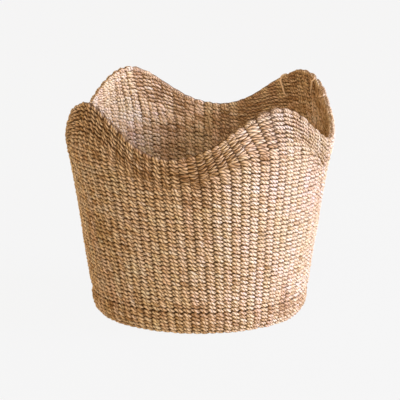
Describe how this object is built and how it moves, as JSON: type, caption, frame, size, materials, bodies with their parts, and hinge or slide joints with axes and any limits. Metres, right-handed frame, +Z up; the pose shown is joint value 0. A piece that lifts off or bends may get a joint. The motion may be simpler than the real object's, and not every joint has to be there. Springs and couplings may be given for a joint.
{
  "type": "planter basket",
  "caption": "Round planter basket twined from plied plant-fibre cord, with a grooved foot, sides that flare to a belly and an open rim that rises and falls in even peaks.",
  "frame": {"origin": "on the basket's axis in the plane of the sole, at the bottom centre of the bounding box", "axes": "+Z up along the basket's axis, -Y towards the front that the picture shows, +X to its right"},
  "size_m": [0.3549, 0.3549, 0.3069],
  "materials": {
    "weave_cord": "matt, two-ply twisted plant-fibre cord, light tan with paler and browner strands",
    "stake_cord": "matt, plied plant-fibre cord, a darker tan than the weave"
  },
  "bodies": {
    "root": {"base_weave": "weave_cord", "foot_weave": "weave_cord", "side_weave": "weave_cord", "rim_weave": "weave_cord", "border": "weave_cord", "stake_pair_01": "stake_cord", "stake_pair_02": "stake_cord", "stake_pair_03": "stake_cord", "stake_pair_04": "stake_cord", "stake_pair_05": "stake_cord", "stake_pair_06": "stake_cord", "stake_pair_07": "stake_cord", "stake_pair_08": "stake_cord", "stake_pair_09": "stake_cord", "stake_pair_10": "stake_cord", "stake_pair_11": "stake_cord", "stake_pair_12": "stake_cord", "stake_pair_13": "stake_cord", "stake_pair_14": "stake_cord", "stake_pair_15": "stake_cord", "stake_pair_16": "stake_cord", "stake_pair_17": "stake_cord", "stake_pair_18": "stake_cord", "stake_pair_19": "stake_cord", "stake_pair_20": "stake_cord", "stake_pair_21": "stake_cord", "stake_pair_22": "stake_cord", "stake_pair_23": "stake_cord", "stake_pair_24": "stake_cord", "stake_pair_25": "stake_cord", "stake_pair_26": "stake_cord", "stake_pair_27": "stake_cord", "stake_pair_28": "stake_cord", "stake_pair_29": "stake_cord", "stake_pair_30": "stake_cord", "stake_pair_31": "stake_cord", "stake_pair_32": "stake_cord", "stake_pair_33": "stake_cord", "stake_pair_34": "stake_cord", "stake_pair_35": "stake_cord", "stake_pair_36": "stake_cord", "stake_pair_37": "stake_cord", "stake_pair_38": "stake_cord", "stake_pair_39": "stake_cord", "stake_pair_40": "stake_cord", "stake_pair_41": "stake_cord", "stake_pair_42": "stake_cord"}
  },
  "joints": []
}
